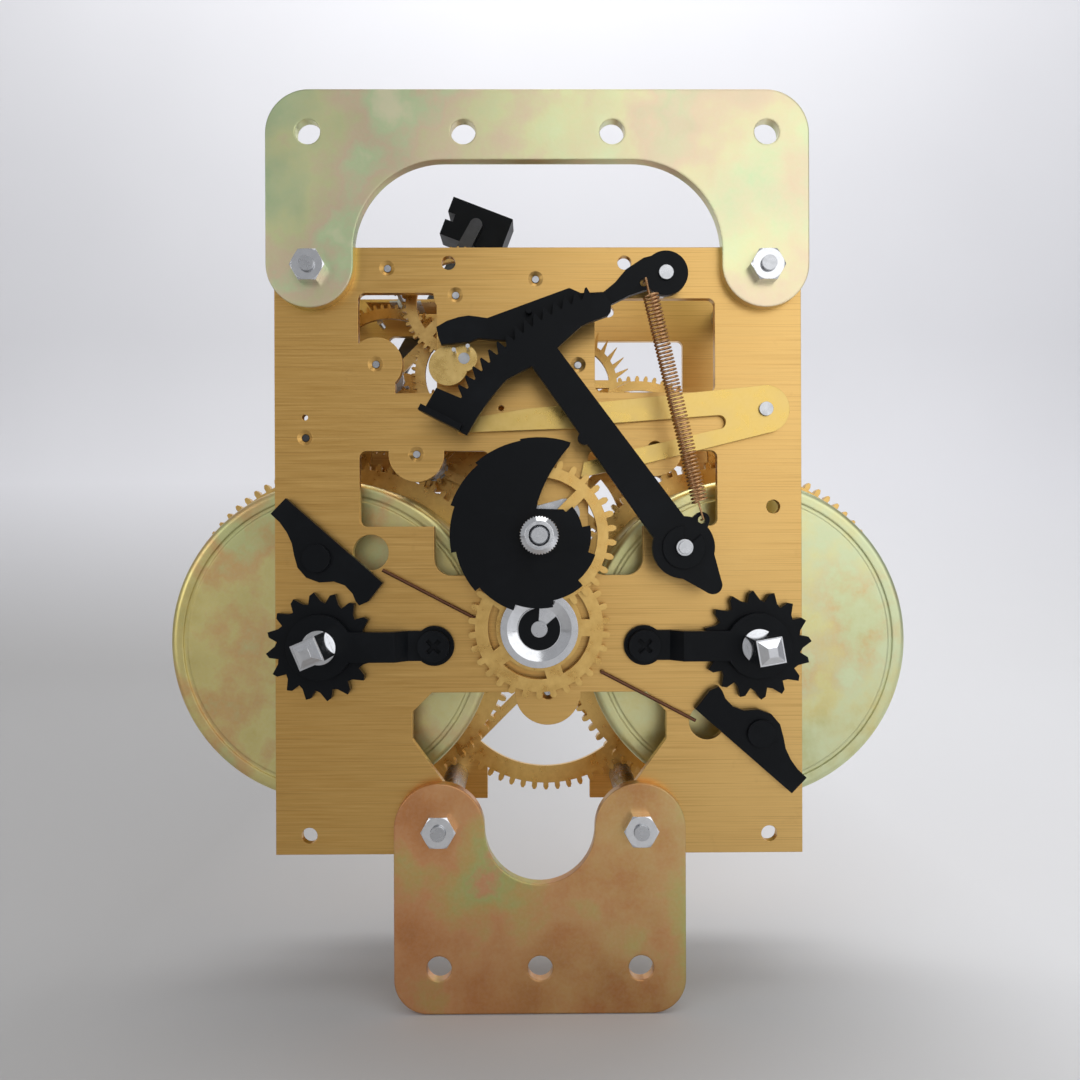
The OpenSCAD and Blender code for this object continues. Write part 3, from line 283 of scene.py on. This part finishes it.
def wheel_on_arbor(name, place, arbor_r):
    """Brass wheel and steel arbor in one piece: steel near the axis, brass outside."""
    made, t = material(name)
    fine = t.noise(FINE, 4.0, 0.6)
    brass = t.mix(t.spread(fine, 0.0, 1.0), (0.56, 0.33, 0.10), (0.74, 0.49, 0.18))
    steel = t.mix(t.spread(fine, 0.0, 1.0), (0.42, 0.43, 0.45), (0.6, 0.61, 0.63))
    near = t.math("LESS_THAN", t.radius(place), arbor_r)
    t.surface(t.mix(near, brass, steel), 1.0, t.spread(fine, 0.24, 0.36),
              t.bump(fine, 0.14, 0.00005))
    return made


def pallet_mix(name, y_front):
    """Gathering pallet: brass disc, with bright steel pins in front of it (below y_front)."""
    made, t = material(name)
    fine = t.noise(FINE, 4.0, 0.6)
    brass = t.mix(t.spread(fine, 0.0, 1.0), (0.66, 0.44, 0.14), (0.80, 0.57, 0.22))
    pins = t.math("LESS_THAN", t.axis("Y"), y_front)
    t.surface(t.mix(pins, brass, (0.7, 0.71, 0.73)), 1.0, t.spread(fine, 0.22, 0.34),
              t.bump(fine, 0.1, 0.00004))
    return made


# Tints of the three films, from the low to the high end of the noise
OLIVE = [(0.0, (0.52, 0.70, 0.40)), (0.28, (0.66, 0.75, 0.42)), (0.5, (0.74, 0.76, 0.40)),
         (0.7, (0.77, 0.63, 0.42)), (0.85, (0.60, 0.74, 0.42)), (1.0, (0.80, 0.80, 0.52))]
COPPER = [(0.0, (0.58, 0.24, 0.09)), (0.3, (0.68, 0.30, 0.12)), (0.52, (0.74, 0.36, 0.16)),
          (0.7, (0.66, 0.44, 0.16)), (0.86, (0.52, 0.52, 0.19)), (1.0, (0.72, 0.34, 0.18))]
BARREL = [(0.0, (0.54, 0.52, 0.20)), (0.3, (0.72, 0.60, 0.22)), (0.55, (0.77, 0.66, 0.26)),
          (0.75, (0.72, 0.45, 0.18)), (1.0, (0.60, 0.60, 0.26))]

WHEEL_BRASS = cut_brass("wheel_brass", (0.66, 0.40, 0.12), (0.82, 0.55, 0.19))
LEVER_BRASS = cut_brass("lever_brass", (0.69, 0.48, 0.135), (0.79, 0.57, 0.20), 300.0, 0.08)
OLIVE_ZINC = passivated("olive_zinc", OLIVE, 24.0, ((0.82, 0.66, 0.46), 0.054, 0.6))
COPPER_ZINC = passivated("copper_zinc", COPPER, 30.0, ((0.60, 0.56, 0.22), 0.029, 0.35),
                         (0.13, 0.0, 0.31), 0.08)
BARREL_ZINC = passivated("barrel_zinc", BARREL, 34.0, ((0.68, 0.74, 0.45), 0.08, 0.75),
                         (0.4, 0.1, 0.2))
STEEL = bright_metal("turned_steel", (0.58, 0.59, 0.61), (0.22, 0.36))
NICKEL = bright_metal("nickel_plate", (0.80, 0.81, 0.83), (0.07, 0.18))
DARK_STEEL = bright_metal("dark_steel", (0.085, 0.085, 0.09), (0.3, 0.42))
SPRING_WIRE = bright_metal("tempered_wire", (0.16, 0.075, 0.045), (0.25, 0.4))
SPRING_STRIP = bright_metal("spring_strip", (0.20, 0.21, 0.24), (0.2, 0.32))
COPPER_WIRE = bright_metal("copper_wire", (0.62, 0.36, 0.18), (0.2, 0.34), 900.0)

LOOKS = {
    plate_brass(): ["front_plate", "rear_plate"],
    WHEEL_BRASS: ["time_great_wheel", "strike_great_wheel", "second_wheel", "centre_wheel",
                  "third_wheel", "escape_wheel", "minute_wheel", "hour_wheel", "back_cock"],
    LEVER_BRASS: ["lifting_lever"],
    OLIVE_ZINC: ["top_bracket"],
    COPPER_ZINC: ["bottom_bracket"],
    BARREL_ZINC: ["time_drum", "time_barrel_cap", "strike_drum", "strike_barrel_cap"],
    black_oxide(): ["time_ratchet", "strike_ratchet", "time_click", "strike_click",
                    "time_bridge", "strike_bridge", "bridge_screws", "click_rivets", "snail",
                    "rack", "rack_hook", "stud_clips", "hammer_head"],
    NICKEL: ["front_nuts", "rear_nuts", "minute_dish", "hand_nut", "time_winding_arbor",
             "strike_winding_arbor"],
    STEEL: ["pillars", "second_arbor", "centre_arbor", "third_arbor", "escape_arbor",
            "verge_arbor", "anchor", "crutch", "cannon_pinion", "front_studs", "strike_pins"],
    DARK_STEEL: ["hammer_arbor"],
    SPRING_WIRE: ["time_click_spring", "strike_click_spring"],
    SPRING_STRIP: ["time_mainspring", "strike_mainspring"],
}
# Wheels that share a node with their arbor, and the radius inside which it is steel
ARBORS = {"strike_second_wheel": 0.0034, "pin_wheel": 0.0034, "gathering_wheel": 0.0034,
          "warning_wheel": 0.003, "fly": 0.0036}
PINS_FROM = 0.0008      # from the gathering pallet's back: its 0.7 mm brass disc ends before this


def arbor_place(node):
    """Axis (X, Z) of the body that carries a node, from the record's joints."""
    behaviour = frame["record"]["behaviour"]
    body = next(b for b, held in behaviour["bodies"].items() if node in held)
    x, _, z = next(j["pos_m"] for j in behaviour["joints"] if j["child"] == body)
    return x, z


def dress(node, made):
    bpy.data.objects[node].data.materials.clear()
    bpy.data.objects[node].data.materials.append(made)


for look, nodes in LOOKS.items():
    for node in nodes:
        dress(node, look)
for node, r in ARBORS.items():
    dress(node, wheel_on_arbor(node + "_metal", arbor_place(node), r))
pallet_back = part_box("gathering_pallet")[1].y
dress("gathering_pallet", pallet_mix("pallet_metal", pallet_back - PINS_FROM))


# Rack spring: the CAD wire's path with more turns, from the hook's hole to the rack's lug

SPRING_TOP = Vector((20.4, 0.0, 48.8)) * MM
SPRING_LUG = Vector((31.187, 0.0, 2.92)) * MM
COIL_R = 1.4 * MM
WIRE_R = 0.2 * MM
WIRE_SIDES = 8
CURLS = 58
CURL_POINTS = 18        # path points in each turn
LEAD = 3.4 * MM         # straight length at each end
END_BACK = 0.6 * MM     # how far behind the coil's axis an end enters its hole
LUG_REACH = 3.0 * MM    # how far behind the rack's front the lower end stops
Y_AXIS = Vector((0.0, 1.0, 0.0))
Z_AXIS = Vector((0.0, 0.0, 1.0))
NEARLY_ALONG = 0.9      # a wire direction this close to Y takes Z as its reference


def link_mesh(name, mesh):
    """Smooth-shaded object of a mesh, in the scene."""
    for face in mesh.polygons:
        face.use_smooth = True
    piece = bpy.data.objects.new(name, mesh)
    scene.collection.objects.link(piece)
    return piece


def wire_mesh(name, path, r, sides):
    """Closed tube swept along a list of points."""
    bm = bmesh.new()
    rings = []
    for i, p in enumerate(path):
        d = (path[min(i + 1, len(path) - 1)] - path[max(i - 1, 0)]).normalized()
        u = d.cross(Y_AXIS if abs(d.y) < NEARLY_ALONG else Z_AXIS).normalized()
        v = d.cross(u)
        rings.append([bm.verts.new(p + r * (math.cos(a) * u + math.sin(a) * v))
                      for a in (2 * math.pi * k / sides for k in range(sides))])
    for low, high in zip(rings, rings[1:]):
        for k in range(sides):
            bm.faces.new((low[k], high[k], high[(k + 1) % sides], low[(k + 1) % sides]))
    bm.faces.new(rings[0])
    bm.faces.new(reversed(rings[-1]))
    bmesh.ops.recalc_face_normals(bm, faces=bm.faces)
    mesh = bpy.data.meshes.new(name)
    bm.to_mesh(mesh)
    bm.free()
    return link_mesh(name, mesh)


spring_low, spring_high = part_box("rack_spring")
spring_y = spring_low.y + WIRE_R + COIL_R
along = (SPRING_LUG - SPRING_TOP).normalized()
across = along.cross(Y_AXIS)
coil_length = (SPRING_LUG - SPRING_TOP).length - 2 * LEAD


def coil_point(turn):
    a = 2 * math.pi * turn
    at = SPRING_TOP + along * (LEAD + coil_length * turn / CURLS) + across * COIL_R * math.sin(a)
    return Vector((at.x, spring_y + COIL_R * math.cos(a), at.z))


def wire_end(place, depth):
    """Wire end that goes into the hole at place, from depth outwards."""
    inner = Vector((place.x, depth, place.z))
    outer = Vector((place.x, spring_y + END_BACK, place.z))
    return [inner, inner.lerp(outer, 0.5), outer]


spring_path = wire_end(SPRING_TOP, spring_high.y)
spring_path += [coil_point(i / CURL_POINTS) for i in range(CURLS * CURL_POINTS + 1)]
spring_path += reversed(wire_end(SPRING_LUG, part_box("rack")[0].y + LUG_REACH))
spring = wire_mesh("rack_spring_wire", spring_path, WIRE_R, WIRE_SIDES)
spring.data.materials.append(COPPER_WIRE)
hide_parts("rack_spring")
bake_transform(spring)


# Studio: pale sweep, soft lamps, pale surroundings

FLOOR_Z = cad_low.z - 0.0002
FLOOR_HALF = 3.0
FLOOR_FRONT = -1.6
WALL_Y = 0.75
WALL_TOP = 1.8
BEND = 0.3              # radius between floor and wall
BEND_STEPS = 12
CENTRE = (0, 0, 0)

# Name: place, target, (width, height), watts
LAMPS = {
    "key": ((0.52, -0.95, 0.36), CENTRE, (1.2, 0.9), 3.3),
    "fill": ((-0.8, -0.8, 0.1), CENTRE, (0.5, 0.7), 1.6),
    "top": ((0.1, 0.05, 1.0), CENTRE, (0.9, 0.6), 2.5),
    "back": ((0.0, 0.35, 0.9), (0.0, 0.75, 0.1), (1.2, 0.4), 4.0),
}
SKY_COLOUR = (0.86, 0.87, 0.90, 1.0)
SKY_STRENGTH = 0.45


def sweep(name):
    """Floor, with painted shade towards the left, that curves up into a backdrop behind the
    object.
    """
    start = WALL_Y - BEND
    profile = [(FLOOR_FRONT, FLOOR_Z), (start, FLOOR_Z)]
    for i in range(1, BEND_STEPS + 1):
        a = math.pi / 2 * i / BEND_STEPS
        profile.append((start + BEND * math.sin(a), FLOOR_Z + BEND - BEND * math.cos(a)))
    profile.append((WALL_Y, WALL_TOP))
    verts = [(x, y, z) for y, z in profile for x in (-FLOOR_HALF, FLOOR_HALF)]
    faces = [(2 * i, 2 * i + 1, 2 * i + 3, 2 * i + 2) for i in range(len(profile) - 1)]
    mesh = bpy.data.meshes.new(name)
    mesh.from_pydata(verts, [], faces)
    piece = link_mesh(name, mesh)
    made, t = material("pale_sweep")
    wall = t.mix(t.spread(t.noise(3.0, 2.0), 0.0, 1.0), (0.78, 0.78, 0.81), (0.82, 0.82, 0.85))
    rise = t.span(t.axis("Z"), FLOOR_Z, FLOOR_Z + 0.5 * BEND, 0.0, 1.0)
    # Painted shade: the floor darkens from 0.78 on the right to 0.42 on the left, as if shadowed
    # there, and blends into the even wall as it rises.
    to_right = t.span(t.axis("X"), -0.1, 0.12, 0.0, 1.0)
    floor_with_painted_shade = t.mix(to_right, (0.42, 0.415, 0.41), (0.78, 0.78, 0.79))
    t.surface(t.mix(rise, floor_with_painted_shade, wall), 0.0, 0.85)
    mesh.materials.append(made)
    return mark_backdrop(piece)


def lamp(name, place, target, size, power):
    data = bpy.data.lights.new(name, "AREA")
    data.shape = "RECTANGLE"
    data.size, data.size_y = size
    data.energy = power
    thing = bpy.data.objects.new(name, data)
    thing.location = place
    aim = Vector(target) - Vector(place)
    thing.rotation_euler = aim.to_track_quat("-Z", "Y").to_euler()
    scene.collection.objects.link(thing)


sweep("floor")
for name, values in LAMPS.items():
    lamp(name, *values)

world = bpy.data.worlds.new("surroundings")
scene.world = world
world.use_nodes = True
sky = world.node_tree.nodes["Background"]
sky.inputs["Color"].default_value = SKY_COLOUR
sky.inputs["Strength"].default_value = SKY_STRENGTH
scene.view_settings.view_transform = "Standard"


# Camera, as fitted to the photograph

CAMERA_PLACE = (-1.063 * MM, -185.0 * MM, -0.667 * MM)
CAMERA_TURN = (math.pi / 2 - 0.00116, 0.00329, -0.00703)

camera_data = bpy.data.cameras.new("camera")
camera_data.sensor_width = 36.0
camera_data.lens = 30.628
camera_data.clip_start = 0.01
camera = bpy.data.objects.new("camera", camera_data)
camera.location = CAMERA_PLACE
camera.rotation_euler = CAMERA_TURN
scene.collection.objects.link(camera)
scene.camera = camera
